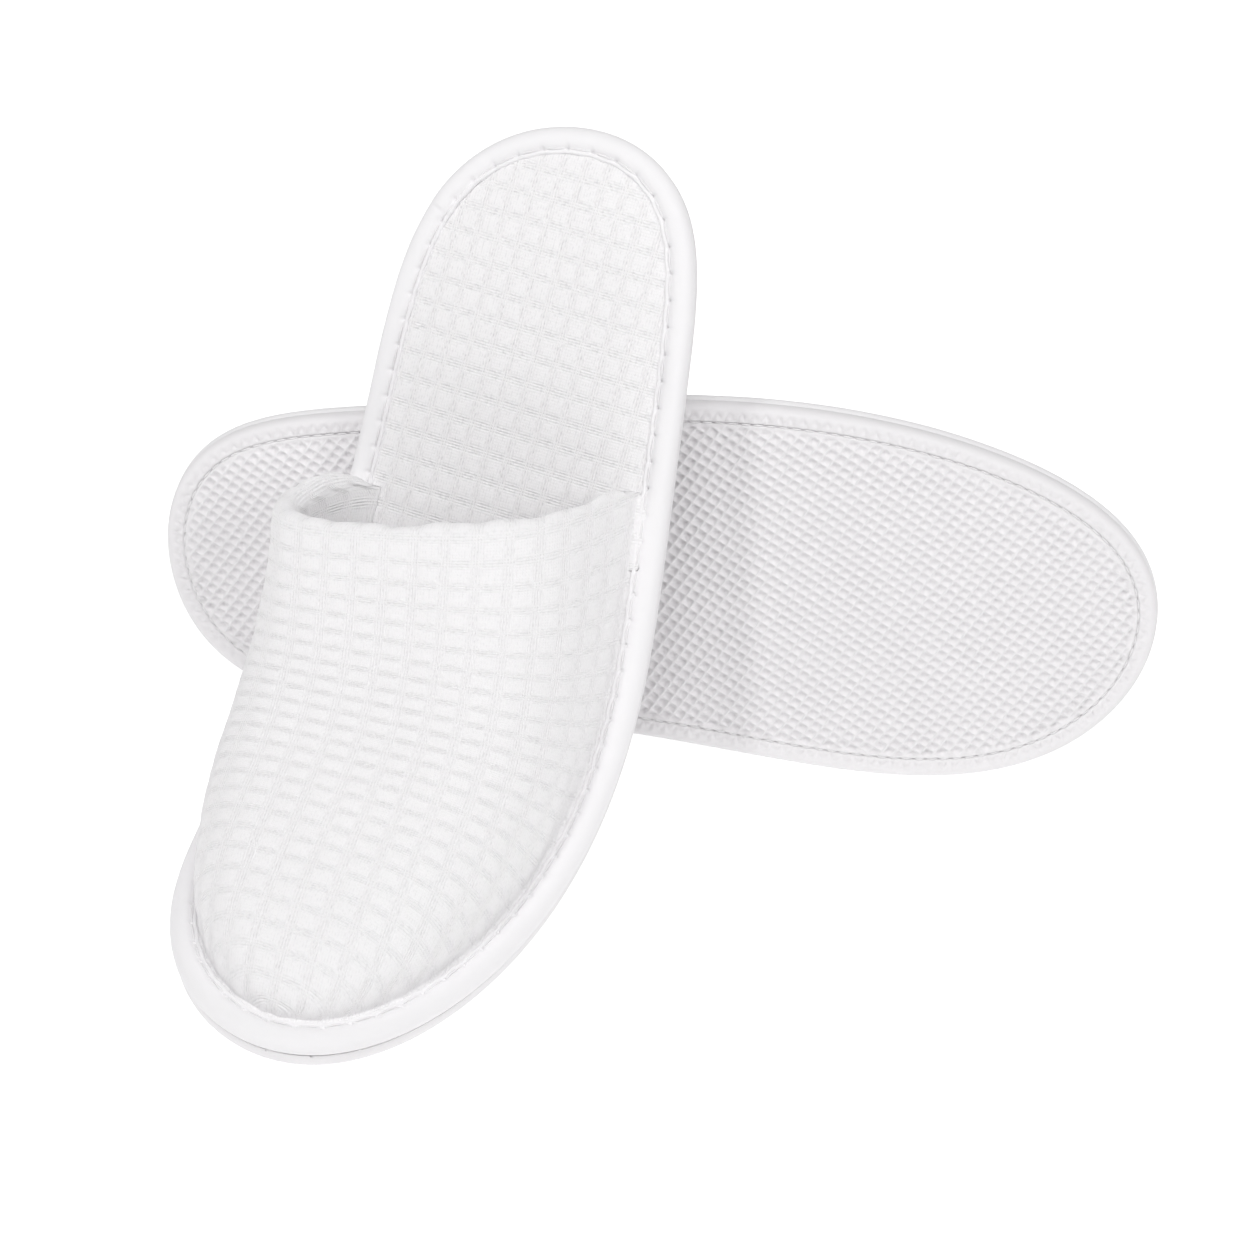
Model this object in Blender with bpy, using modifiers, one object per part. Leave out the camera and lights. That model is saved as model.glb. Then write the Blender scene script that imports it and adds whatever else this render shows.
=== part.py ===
"""Spa slippers: a pair of closed-toe waffle-cloth slippers with moulded foam outsoles.

The rear slipper lies on its long side with its outsole facing forward. The front slipper stands on its
toe, and the outsole under its heel leans on the rear one's upper edge. Each slipper is designed flat and
then curved over the ball of the foot. In that flat layout "along" runs from heel to toe, "across" runs
to the wearer's side and "up" is the height above the bottom of the outsole. All sizes are in metres.
"""

import math

import bmesh
import bpy
from mathutils import Matrix, Vector

# Seam outline: the line of stitches that runs round the whole sole.
SEAM_LENGTH = 0.275
HALF_WIDTH_WAVES = (0.0492, -0.0016, 0.0057, 0.0017, 0.0003)   # weights of sin(1..5 angle)
CENTRE_LINE_WAVES = (-0.0017, 0.0005, 0.0021)                  # weights of cos(2..4 angle)
STATIONS = 48                                                  # points round the outline

# The sole stack, from the ground up.
OUTSOLE_TOP = 0.0042
OUTSOLE_EDGE = 0.0045            # how far the outsole reaches outside the seam
OUTSOLE_ROUNDING = 0.0007
GROOVE_HALF_WIDTH = 0.0007
GROOVE_CENTRE = -0.00025
GROOVE_DEPTH = 0.00095
TAPE_BOTTOM = 0.0045
TAPE_TOP = 0.0114
TAPE_THICKNESS = 0.0005
TAPE_ROLL_CENTRE = 0.00265       # outside the seam
TAPE_INNER_EDGE = -0.0010
BACKING = (0.0053, 0.0060)       # bottom and top height of each inner layer
PAD = (0.0063, 0.0084)
INSOLE_CLOTH = (0.0087, 0.0095)
LAYER_EDGE = 0.0024              # how far the inner layers reach outside the seam
THREAD_RADIUS = 0.0004
TOP_THREAD_PLACE = (-0.0004, TAPE_TOP + 0.0007)
BOTTOM_THREAD_PLACE = (GROOVE_CENTRE, 0.0005)
BOTTOM_THREAD_RADIUS = 0.00035

# The upper: a dome sewn under the tape, open behind the instep.
FLANGE_EDGE = 0.0020
FLANGE_TOP = 0.0105
UPPER_FOOT = -0.0024             # where the wall rises, inside the seam
DOME_ROWS = 14              # rows from throat to toe
DOME_COLUMNS = 14                # columns from one side to the other
THROAT_ANGLE_NEAR = math.radians(67.5)
THROAT_ANGLE_FAR = math.radians(76.5)
THROAT_BOW = 0.014               # how far the throat's middle lies towards the toe
TOE_POWER = 2.3
BULGE_FADE = 1.6                 # how fast the throat's bulge and sag die away towards the toe
CLOTH_THICKNESS = 0.0006
FOAM_DEPTH = 0.0010
FOAM_THICKNESS = 0.0016
LINING_DEPTH = 0.0036
LINING_THICKNESS = 0.0006

# The bend over the ball of the foot, shared by both slippers.
BEND_START = 0.105
BEND_END = 0.275
BEND_STEPS = 24

WHITE = (0.86, 0.86, 0.88, 1.0)


class Slipper:
    """One slipper's own proportions and its place on the floor."""

    def __init__(self, name, side, bend, height, fullness, splay, lean, place):
        self.name = name
        self.side = side              # +1 or -1: the two are mirror images
        self.bend = math.radians(bend)
        self.height = height          # top of the upper above its flange
        self.fullness = fullness      # power of the arch: 2 is an ellipse, more is boxier
        self.splay = splay            # how much both walls bulge outwards at the throat
        self.lean = lean              # how far the top of the throat sags to the +across side
        self.place = place


def turned(degrees, axis):
    return Matrix.Rotation(math.radians(degrees), 4, axis)


REAR_PLACE = (
    Matrix.Translation((-0.0010, 0.0372, 0.04792))
    @ turned(-8.1, "Z")
    @ turned(-118.2, "X")
    @ turned(-2.3, "Z")
)
FRONT_PLACE = (
    Matrix.Translation((-0.0504, 0.0194, 0.0428))
    @ turned(-20.6, "Z")
    @ turned(52.0, "X")
    @ turned(-2.1, "Y")
    @ turned(-90.0, "Z")
)
REAR = Slipper("rear", -1, 6.7, 0.046, 2.4, 0.0, 0.0, REAR_PLACE)
FRONT = Slipper("front", 1, 55.0, 0.043, 3.6, 0.13, -0.016, FRONT_PLACE)


# ---------------------------------------------------------------- geometry of one slipper

def outline(angle, grow, side):
    """A point at distance grow outside the seam; angle 0 is the heel and pi is the toe."""
    along = SEAM_LENGTH / 2 * (1 - math.cos(angle))
    along_slope = SEAM_LENGTH / 2 * math.sin(angle)
    across = 0.0
    across_slope = 0.0
    for order, weight in enumerate(HALF_WIDTH_WAVES, start=1):
        across += weight * math.sin(order * angle)
        across_slope += weight * order * math.cos(order * angle)
    for order, weight in enumerate(CENTRE_LINE_WAVES, start=2):
        across += side * weight * math.cos(order * angle)
        across_slope -= side * weight * order * math.sin(order * angle)
    slope = math.hypot(along_slope, across_slope)
    return along - grow * across_slope / slope, across + grow * along_slope / slope


def heading(along, bend):
    """How far the sole has turned up at this distance from the heel."""
    share = min(max((along - BEND_START) / (BEND_END - BEND_START), 0.0), 1.0)
    return bend * share * share * (3 - 2 * share)


def curved(along, across, up, bend):
    """Move a point of the flat layout to its place on the curved slipper, centred on its length."""
    x = min(along, BEND_START)
    z = 0.0
    step = (along - x) / BEND_STEPS
    for index in range(BEND_STEPS):
        turn = heading(BEND_START + (index + 0.5) * step, bend)
        x += step * math.cos(turn)
        z += step * math.sin(turn)
    turn = heading(along, bend)
    return Vector((x - math.sin(turn) * up - SEAM_LENGTH / 2, across, z + math.cos(turn) * up))


def powered(value, power):
    return math.copysign(abs(value) ** power, value)


# ---------------------------------------------------------------- pieces

def finish_piece(piece, slipper, material):
    """Put a piece in the model's collection, on its slipper's empty, with its own material."""
    slippers.objects.link(piece)
    piece.parent = holders[slipper.name]
    piece.data.materials.append(material)


def mesh_piece(bm, name, slipper, material):
    bmesh.ops.recalc_face_normals(bm, faces=bm.faces[:])
    mesh = bpy.data.meshes.new(name)
    bm.to_mesh(mesh)
    bm.free()
    mesh.shade_smooth()
    mesh.set_sharp_from_angle(angle=math.radians(40))
    piece = bpy.data.objects.new(name, mesh)
    finish_piece(piece, slipper, material)
    return piece


def cap(bm, ring):
    """Close a ring with strips from side to side, so that the cap follows the bend."""
    bm.faces.new(ring)
    for index in range(1, STATIONS // 2):
        bmesh.ops.connect_verts(bm, verts=[ring[index], ring[-index]])


def lofted(name, slipper, profile, closed, material):
    """Sweep a profile of (outside the seam, height) round the outline: a slab, or a closed tube."""
    bm = bmesh.new()
    rings = []
    for grow, up in profile:
        ring = []
        for station in range(STATIONS):
            angle = 2 * math.pi * station / STATIONS
            along, across = outline(angle, grow, slipper.side)
            ring.append(bm.verts.new(curved(along, across, up, slipper.bend)))
        rings.append(ring)
    pairs = list(zip(rings, rings[1:]))
    if closed:
        pairs.append((rings[-1], rings[0]))
    for first, second in pairs:
        for station in range(STATIONS):
            after = (station + 1) % STATIONS
            bm.faces.new((first[station], first[after], second[after], second[station]))
    if not closed:
        cap(bm, rings[0])
        cap(bm, rings[-1])
    return mesh_piece(bm, name, slipper, material)


def outsole(slipper, material):
    """Moulded foam sole with a rounded lower edge and a groove that sinks the lower thread."""
    edge = OUTSOLE_EDGE
    groove_out = GROOVE_CENTRE + GROOVE_HALF_WIDTH
    groove_in = GROOVE_CENTRE - GROOVE_HALF_WIDTH
    profile = [
        (edge, OUTSOLE_TOP),
        (edge, OUTSOLE_ROUNDING),
        (edge - OUTSOLE_ROUNDING, 0.0),
        (groove_out, 0.0),
        (groove_out, GROOVE_DEPTH),
        (groove_in, GROOVE_DEPTH),
        (groove_in, 0.0),
    ]
    lofted(slipper.name + "_outsole", slipper, profile, False, material)


def layer(label, slipper, heights, material):
    """One flat inner layer of the sole, bound by the tape."""
    profile = [(LAYER_EDGE, heights[1]), (LAYER_EDGE, heights[0])]
    lofted(slipper.name + "_" + label, slipper, profile, False, material)


def edge_binding(slipper, material):
    """Folded tape: a C section whose legs hold the edges of the inner layers and of the upper."""
    middle = (TAPE_TOP + TAPE_BOTTOM) / 2
    outer = (TAPE_TOP - TAPE_BOTTOM) / 2
    inner = outer - TAPE_THICKNESS
    diagonal = outer * math.sqrt(0.5)
    centre = TAPE_ROLL_CENTRE
    profile = [
        (TAPE_INNER_EDGE, TAPE_TOP),
        (centre, TAPE_TOP),
        (centre + diagonal, middle + diagonal),
        (centre + outer, middle),
        (centre + diagonal, middle - diagonal),
        (centre, TAPE_BOTTOM),
        (TAPE_INNER_EDGE, TAPE_BOTTOM),
        (TAPE_INNER_EDGE, TAPE_BOTTOM + TAPE_THICKNESS),
        (centre, TAPE_BOTTOM + TAPE_THICKNESS),
        (centre + inner, middle),
        (centre, TAPE_TOP - TAPE_THICKNESS),
        (TAPE_INNER_EDGE, TAPE_TOP - TAPE_THICKNESS),
    ]
    lofted(slipper.name + "_edge_binding", slipper, profile, True, material)


def thread(label, slipper, place, radius, material):
    """One sewing thread, laid along the seam as a closed loop."""
    name = slipper.name + "_" + label
    grow, up = place
    curve = bpy.data.curves.new(name, "CURVE")
    curve.dimensions = "3D"
    curve.bevel_depth = radius
    curve.bevel_resolution = 0
    spline = curve.splines.new("POLY")
    spline.points.add(STATIONS - 1)
    spline.use_cyclic_u = True
    for station, point in enumerate(spline.points):
        angle = 2 * math.pi * station / STATIONS
        along, across = outline(angle, grow, slipper.side)
        point.co = (*curved(along, across, up, slipper.bend), 1.0)
    piece = bpy.data.objects.new(name, curve)
    finish_piece(piece, slipper, material)


def throat_angles(slipper):
    """Where the throat meets the seam on the +across side and on the other side."""
    if slipper.side > 0:
        return THROAT_ANGLE_NEAR, THROAT_ANGLE_FAR
    return THROAT_ANGLE_FAR, THROAT_ANGLE_NEAR


def arch_point(slipper, share, turn, depth):
    """A point of the upper: share runs from throat to toe, turn from side to side, depth inwards."""
    near, far = throat_angles(slipper)
    grow = UPPER_FOOT - depth
    right = Vector(outline(near + (math.pi - near) * share, grow, slipper.side))
    left = Vector(outline(2 * math.pi - far - (math.pi - far) * share, grow, slipper.side))
    power = 2 / slipper.fullness
    rise = abs(math.sin(turn)) ** power
    open_share = (1 - share) ** BULGE_FADE
    reach = powered(math.cos(turn), power) * (1 + slipper.splay * rise * open_share)
    start = (Vector(outline(near, grow, 1)).x + Vector(outline(far, grow, 1)).x) / 2
    run = ((right.x + left.x) / 2 - start) / (SEAM_LENGTH + grow - start)
    run = min(max(run, 0.0), 1.0)
    top = (slipper.height - depth) * math.sqrt(1 - run ** TOE_POWER)
    plan = (right + left) / 2 + (right - left) / 2 * reach
    bow = THROAT_BOW * math.sqrt(abs(math.sin(turn))) * (1 - share) ** 2.5
    sag = slipper.lean * rise * open_share
    return curved(plan.x + bow, plan.y + sag, FLANGE_TOP + top * rise, slipper.bend)


def arch_sheet(bm, slipper, depth):
    """The open dome sheet. It returns the verts along its foot, from one throat corner to the other."""
    rows = []
    for row in range(DOME_ROWS):
        share = row / DOME_ROWS
        points = []
        for column in range(DOME_COLUMNS + 1):
            turn = math.pi * column / DOME_COLUMNS
            points.append(bm.verts.new(arch_point(slipper, share, turn, depth)))
        rows.append(points)
    toe = bm.verts.new(arch_point(slipper, 1.0, 0.0, depth))
    for first, second in zip(rows, rows[1:]):
        for column in range(DOME_COLUMNS):
            bm.faces.new((first[column], first[column + 1], second[column + 1], second[column]))
    for column in range(DOME_COLUMNS):
        bm.faces.new((rows[-1][column], rows[-1][column + 1], toe))
    foot = [points[0] for points in rows]
    foot.append(toe)
    foot.extend(points[-1] for points in reversed(rows))
    return foot


def flange(bm, slipper, foot):
    """The rim of the upper that is sewn in under the tape."""
    near, far = throat_angles(slipper)
    rim = []
    for index in range(2 * DOME_ROWS + 1):
        share = 1 - abs(index / DOME_ROWS - 1)
        angle = near + (math.pi - near) * share
        if index > DOME_ROWS:
            angle = 2 * math.pi - far - (math.pi - far) * share
        along, across = outline(angle, FLANGE_EDGE, slipper.side)
        rim.append(bm.verts.new(curved(along, across, FLANGE_TOP, slipper.bend)))
    for index in range(len(foot) - 1):
        bm.faces.new((rim[index], rim[index + 1], foot[index + 1], foot[index]))


def top_face(piece):
    """The face at the middle of the throat, which looks up on a sheet that faces outwards."""
    return piece.data.polygons[DOME_COLUMNS // 2]


def upper_layer(label, slipper, depth, thickness, has_flange, material):
    """One layer of the upper: a dome sheet that Solidify thickens inwards."""
    bm = bmesh.new()
    foot = arch_sheet(bm, slipper, depth)
    if has_flange:
        flange(bm, slipper, foot)
    piece = mesh_piece(bm, slipper.name + "_" + label, slipper, material)
    if top_face(piece).normal.z < 0:
        piece.data.flip_normals()
    shell = piece.modifiers.new("thickness", "SOLIDIFY")
    shell.thickness = thickness
    shell.offset = -1


def material(name, colour, roughness):
    made = bpy.data.materials.new(name)
    made.use_nodes = True
    shader = made.node_tree.nodes["Principled BSDF"]
    shader.inputs["Base Color"].default_value = colour
    shader.inputs["Roughness"].default_value = roughness
    shader.inputs["Metallic"].default_value = 0.0
    return made


def build(slipper):
    prefix = slipper.name + "_"
    outsole(slipper, material(prefix + "moulded_foam", WHITE, 0.75))
    layer("insole_backing", slipper, BACKING, material(prefix + "backing_cloth", WHITE, 0.9))
    layer("insole_pad", slipper, PAD, material(prefix + "sponge", WHITE, 0.9))
    layer("insole_cloth", slipper, INSOLE_CLOTH, material(prefix + "insole_waffle", WHITE, 0.9))
    edge_binding(slipper, material(prefix + "tape", WHITE, 0.8))
    upper_layer("upper_cloth", slipper, 0.0, CLOTH_THICKNESS, True,
                material(prefix + "upper_waffle", WHITE, 0.9))
    upper_layer("upper_foam", slipper, FOAM_DEPTH, FOAM_THICKNESS, False,
                material(prefix + "upper_sponge", WHITE, 0.9))
    upper_layer("upper_lining", slipper, LINING_DEPTH, LINING_THICKNESS, False,
                material(prefix + "lining_cloth", WHITE, 0.9))
    thread("needle_thread", slipper, TOP_THREAD_PLACE, THREAD_RADIUS,
           material(prefix + "upper_thread", WHITE, 0.6))
    thread("bobbin_thread", slipper, BOTTOM_THREAD_PLACE, BOTTOM_THREAD_RADIUS,
           material(prefix + "lower_thread", WHITE, 0.6))


for old in list(bpy.data.objects):
    bpy.data.objects.remove(old)

slippers = bpy.data.collections.new("spa_slippers")
bpy.context.scene.collection.children.link(slippers)
holders = {}
for each in (REAR, FRONT):
    holder = bpy.data.objects.new(each.name + "_slipper", None)
    holder.matrix_world = each.place
    slippers.objects.link(holder)
    holders[each.name] = holder
    build(each)
bpy.context.view_layer.update()
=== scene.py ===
import math

import bmesh
import bpy
from mathutils import Matrix, Vector, kdtree, noise


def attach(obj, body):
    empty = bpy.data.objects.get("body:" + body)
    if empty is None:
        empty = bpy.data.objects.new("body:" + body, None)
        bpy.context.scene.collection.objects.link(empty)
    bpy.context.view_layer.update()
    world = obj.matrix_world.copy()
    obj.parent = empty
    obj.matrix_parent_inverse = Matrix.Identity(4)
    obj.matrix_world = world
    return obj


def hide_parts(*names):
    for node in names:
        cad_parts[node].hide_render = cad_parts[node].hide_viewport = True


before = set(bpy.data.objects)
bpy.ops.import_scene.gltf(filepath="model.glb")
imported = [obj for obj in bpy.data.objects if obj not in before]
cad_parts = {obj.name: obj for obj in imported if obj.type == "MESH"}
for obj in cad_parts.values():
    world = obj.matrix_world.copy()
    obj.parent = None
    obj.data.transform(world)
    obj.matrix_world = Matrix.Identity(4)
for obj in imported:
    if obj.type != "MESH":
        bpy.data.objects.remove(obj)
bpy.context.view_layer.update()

# ---------------------------------------------------------------- camera
# A portrait lens a little under a metre away, looking down on the pair from the front.

camera_data = bpy.data.cameras.new("camera")
camera_data.lens = 88.4
camera_data.sensor_width = 36.0
camera = bpy.data.objects.new("camera", camera_data)
camera.matrix_world = (
    Matrix.Translation((-0.0081, -0.6072, 0.6374))
    @ Matrix.Rotation(math.radians(90 - 43.24), 4, "X")
    @ Matrix.Rotation(math.radians(2.48), 4, "Z")
)
bpy.context.scene.collection.objects.link(camera)
bpy.context.scene.camera = camera


# ---------------------------------------------------------------- outsoles
# The moulded foam sole of each slipper: a net of thin ridges round small rhombic dimples, pulled
# in by the seam that runs round it, with a smooth side. It is pressed white foam and sewn on.

SEAM_LENGTH = 0.275
HALF_WIDTH_WAVES = (0.0492, -0.0016, 0.0057, 0.0017, 0.0003)
CENTRE_LINE_WAVES = (-0.0017, 0.0005, 0.0021)
BEND_START = 0.105
BEND_END = 0.275
WALK_STEP = 0.001
WALK_POINTS = 220
SEAM_POINTS = 1440
SHEET_REACH = 0.16                     # a sheet starts this far out each way, and is trimmed
SHEET_HALF_WIDTH = 0.062
SHEET_MARGIN = 0.012
RIM_MERGE = 0.0001
BEND_CUT = 0.01                        # flat faces are cut this often, so that they can bend


def turned(degrees, axis):
    return Matrix.Rotation(math.radians(degrees), 4, axis)


def outline(angle, grow, side):
    """A point at distance grow outside the seam; angle 0 is the heel and pi is the toe."""
    along = SEAM_LENGTH / 2 * (1 - math.cos(angle))
    along_slope = SEAM_LENGTH / 2 * math.sin(angle)
    across = 0.0
    across_slope = 0.0
    for order, weight in enumerate(HALF_WIDTH_WAVES, start=1):
        across += weight * math.sin(order * angle)
        across_slope += weight * order * math.cos(order * angle)
    for order, weight in enumerate(CENTRE_LINE_WAVES, start=2):
        across += side * weight * math.cos(order * angle)
        across_slope -= side * weight * order * math.sin(order * angle)
    slope = math.hypot(along_slope, across_slope)
    return along - grow * across_slope / slope, across + grow * along_slope / slope


class Slipper:
    """One slipper's proportions, its place on the floor and its seam, measured round the sole."""

    def __init__(self, name, side, bend, height, fullness, splay, lean, place):
        self.name = name
        self.side = side
        self.height = height
        self.fullness = fullness
        self.splay = splay
        self.lean = lean
        self.place = place
        self.walk = []
        x = BEND_START
        z = 0.0
        for index in range(WALK_POINTS):
            self.walk.append((x, z, self.heading(index * WALK_STEP, math.radians(bend))))
            turn = self.heading((index + 0.5) * WALK_STEP, math.radians(bend))
            x += WALK_STEP * math.cos(turn)
            z += WALK_STEP * math.sin(turn)
        self.tree = kdtree.KDTree(SEAM_POINTS)
        self.seam = [Vector((*outline(self.angle(k), 0.0, side), 0.0)) for k in range(SEAM_POINTS)]
        self.runs = [0.0]
        for index, point in enumerate(self.seam):
            self.tree.insert(point, index)
            after = self.seam[(index + 1) % SEAM_POINTS]
            self.runs.append(self.runs[-1] + (after - point).length)
        self.tree.balance()

    def heading(self, past, bend):
        share = min(past / (BEND_END - BEND_START), 1.0)
        return bend * share * share * (3 - 2 * share)

    def angle(self, index):
        return 2 * math.pi * index / SEAM_POINTS

    def placed(self, along, across, up):
        """From the flat layout to the slipper's place, bent over the ball of the foot."""
        steps = max((along - BEND_START) / WALK_STEP, 0.0)
        index = min(int(steps), WALK_POINTS - 2)
        share = steps - index
        first = self.walk[index]
        second = self.walk[index + 1]
        x = first[0] + (second[0] - first[0]) * share + min(along - BEND_START, 0.0)
        z = first[1] + (second[1] - first[1]) * share
        turn = first[2] + (second[2] - first[2]) * share
        flat = Vector((x - math.sin(turn) * up - SEAM_LENGTH / 2, across, z + math.cos(turn) * up))
        return self.place @ flat

    def seam_spot(self, along, across):
        """The angle and the run of the nearest point of the seam, and the distance outside it."""
        point = Vector((along, across, 0.0))
        index = self.tree.find(point)[1]
        step = self.seam[(index + 1) % SEAM_POINTS] - self.seam[index - 1]
        tangent = step.normalized()
        away = point - self.seam[index]
        ahead = away.dot(tangent)
        outside = away.x * -tangent.y + away.y * tangent.x
        angle = self.angle(index) + ahead / step.length * 2 * self.angle(1)
        return angle, self.runs[index] + ahead, outside

    def angle_at(self, run):
        """The angle of the point that is this far round the seam from the heel."""
        run %= self.runs[-1]
        low = 0
        high = SEAM_POINTS
        while high - low > 1:
            middle = (low + high) // 2
            if self.runs[middle] <= run:
                low = middle
            else:
                high = middle
        share = (run - self.runs[low]) / (self.runs[high] - self.runs[low])
        return self.angle(low + share)


REAR_PLACE = (
    Matrix.Translation((-0.0010, 0.0372, 0.04792))
    @ turned(-8.1, "Z")
    @ turned(-118.2, "X")
    @ turned(-2.3, "Z")
)
FRONT_PLACE = (
    Matrix.Translation((-0.0504, 0.0194, 0.0428))
    @ turned(-20.6, "Z")
    @ turned(52.0, "X")
    @ turned(-2.1, "Y")
    @ turned(-90.0, "Z")
)
REAR = Slipper("rear", -1, 6.7, 0.046, 2.4, 0.0, 0.0, REAR_PLACE)
FRONT = Slipper("front", 1, 55.0, 0.043, 3.6, 0.13, -0.016, FRONT_PLACE)
PAIR = (REAR, FRONT)


def smooth(share):
    share = min(max(share, 0.0), 1.0)
    return share * share * (3 - 2 * share)


def trimmed_cells(slipper, cell, steps, grow):
    """A flat sheet of cells, trimmed to the outline at distance grow; cell holds its two sides."""
    bm = bmesh.new()
    columns = 2 * math.ceil(SHEET_REACH / cell.col[0].length)
    rows = 2 * math.ceil(SHEET_REACH / cell.col[1].length)
    parts = len(steps)
    bmesh.ops.create_grid(bm, x_segments=columns * parts, y_segments=rows * parts, size=1.0)
    for vert in bm.verts:
        column = round((vert.co.x + 1) / 2 * columns * parts)
        row = round((vert.co.y + 1) / 2 * rows * parts)
        place = cell @ Vector((
            column // parts + steps[column % parts] - columns / 2,
            row // parts + steps[row % parts] - rows / 2,
        ))
        vert.co = (place.x + SEAM_LENGTH / 2, place.y, 0.0)
    far = [
        vert for vert in bm.verts
        if abs(vert.co.y) > SHEET_HALF_WIDTH
        or not -SHEET_MARGIN < vert.co.x < SEAM_LENGTH + SHEET_MARGIN
    ]
    bmesh.ops.delete(bm, geom=far, context="VERTS")
    spots = {vert: slipper.seam_spot(vert.co.x, vert.co.y) for vert in bm.verts}
    outside = [face for face in bm.faces if all(spots[vert][2] > grow for vert in face.verts)]
    bmesh.ops.delete(bm, geom=outside, context="FACES")
    bmesh.ops.delete(bm, geom=[vert for vert in bm.verts if not vert.link_faces], context="VERTS")
    for vert in bm.verts:
        angle, past = spots[vert][0], spots[vert][2]
        if past > grow or vert.is_boundary:
            vert.co = (*outline(angle, grow, slipper.side), 0.0)
    edge = [vert for vert in bm.verts if vert.is_boundary]
    bmesh.ops.remove_doubles(bm, verts=edge, dist=RIM_MERGE)
    return bm


def extruded(bm, loop):
    """Extrude a loop of edges in place; gives the new points and the new loop."""
    made = bmesh.ops.extrude_edge_only(bm, edges=loop)["geom"]
    fresh = {item for item in made if isinstance(item, bmesh.types.BMVert)}
    edges = [item for item in made if isinstance(item, bmesh.types.BMEdge)]
    return fresh, [edge for edge in edges if all(vert in fresh for vert in edge.verts)]


def skirt(bm, slipper, profile):
    """Extrude the sheet's rim through a profile of (outside the seam, height), and close it."""
    loop = [edge for edge in bm.edges if edge.is_boundary]
    for shape in profile:
        fresh, loop = extruded(bm, loop)
        for vert in fresh:
            angle, run = slipper.seam_spot(vert.co.x, vert.co.y)[:2]
            grow, up = shape(run)
            vert.co = (*outline(angle, grow, slipper.side), up)
    filled = bmesh.ops.triangle_fill(bm, edges=loop, use_beauty=True)["geom"]
    for cut in range(1, math.ceil(SEAM_LENGTH / BEND_CUT)):
        borders = {edge for item in filled for edge in getattr(item, "edges", ())}
        filled = bmesh.ops.bisect_plane(
            bm,
            geom=list(set(filled) | borders),
            plane_co=(cut * BEND_CUT, 0.0, 0.0),
            plane_no=(1.0, 0.0, 0.0),
        )["geom"]


def bent(bm, slipper):
    """Move every point from the flat layout to its place."""
    for vert in bm.verts:
        vert.co = slipper.placed(*vert.co)


def shown_piece(bm, name, slipper, material, node):
    """A finished piece that rides on its slipper and stands for this CAD node."""
    mesh = bpy.data.meshes.new(slipper.name + "_" + name)
    bm.to_mesh(mesh)
    bm.free()
    mesh.shade_smooth()
    piece = bpy.data.objects.new(mesh.name, mesh)
    bpy.context.scene.collection.objects.link(piece)
    piece.data.materials.append(material)
    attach(piece, slipper.name + "_slipper")
    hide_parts(slipper.name + "_" + node)
    return piece


def made_piece(bm, name, slipper, material, node):
    """The same for a closed shape, whose faces are turned outwards first."""
    bmesh.ops.recalc_face_normals(bm, faces=bm.faces[:])
    return shown_piece(bm, name, slipper, material, node)


def step_of(tree, operation, first, second=None, third=None):
    """A Math node; each operand is a number or another node's output."""
    node = tree.nodes.new("ShaderNodeMath")
    node.operation = operation
    for socket, operand in zip(node.inputs, (first, second, third)):
        if operand is None:
            continue
        if isinstance(operand, (int, float)):
            socket.default_value = operand
        else:
            tree.links.new(operand, socket)
    return node.outputs[0]


def grain_of(tree, place, scale, detail):
    node = tree.nodes.new("ShaderNodeTexNoise")
    node.inputs["Scale"].default_value = scale
    node.inputs["Detail"].default_value = detail
    tree.links.new(place, node.inputs["Vector"])
    return node.outputs["Factor"] if "Factor" in node.outputs else node.outputs["Fac"]


def new_group(name, inputs, outputs):
    """An empty shader node group with its input and output nodes."""
    group = bpy.data.node_groups.new(name, "ShaderNodeTree")
    for label, kind in inputs:
        group.interface.new_socket(label, in_out="INPUT", socket_type=kind)
    for label, kind in outputs:
        group.interface.new_socket(label, in_out="OUTPUT", socket_type=kind)
    entry = group.nodes.new("NodeGroupInput")
    leave = group.nodes.new("NodeGroupOutput")
    return group, entry.outputs, leave.inputs


# Grain shared by every finish: a fine height and a slow, faint change of tone.
grain_group, grain_in, grain_out = new_group(
    "grain",
    [("Place", "NodeSocketVector"), ("Fine", "NodeSocketFloat"), ("Slow", "NodeSocketFloat")],
    [("Height", "NodeSocketFloat"), ("Tone", "NodeSocketFloat")],
)
for label, detail, output in (("Fine", 3.0, "Height"), ("Slow", 2.0, "Tone")):
    grain_noise = grain_group.nodes.new("ShaderNodeTexNoise")
    grain_noise.inputs["Detail"].default_value = detail
    grain_group.links.new(grain_in["Place"], grain_noise.inputs["Vector"])
    grain_group.links.new(grain_in[label], grain_noise.inputs["Scale"])
    grain_group.links.new(grain_noise.outputs[0], grain_out[output])


def finish(name, light, dark, roughness, fine, slow, depth):
    """A material whose tone drifts between two colours, with a fine grained relief."""
    made = bpy.data.materials.new(name)
    made.use_nodes = True
    tree = made.node_tree
    shader = tree.nodes["Principled BSDF"]
    shader.inputs["Roughness"].default_value = roughness
    place = tree.nodes.new("ShaderNodeTexCoord")
    grain = tree.nodes.new("ShaderNodeGroup")
    grain.node_tree = grain_group
    grain.inputs["Fine"].default_value = fine
    grain.inputs["Slow"].default_value = slow
    tree.links.new(place.outputs["Object"], grain.inputs["Place"])
    tone = tree.nodes.new("ShaderNodeMix")
    tone.data_type = "RGBA"
    tone.inputs["A"].default_value = dark
    tone.inputs["B"].default_value = light
    tree.links.new(grain.outputs["Tone"], tone.inputs["Factor"])
    tree.links.new(tone.outputs["Result"], shader.inputs["Base Color"])
    bump = tree.nodes.new("ShaderNodeBump")
    bump.inputs["Distance"].default_value = depth
    tree.links.new(grain.outputs["Height"], bump.inputs["Height"])
    tree.links.new(bump.outputs["Normal"], shader.inputs["Normal"])
    return made


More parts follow.
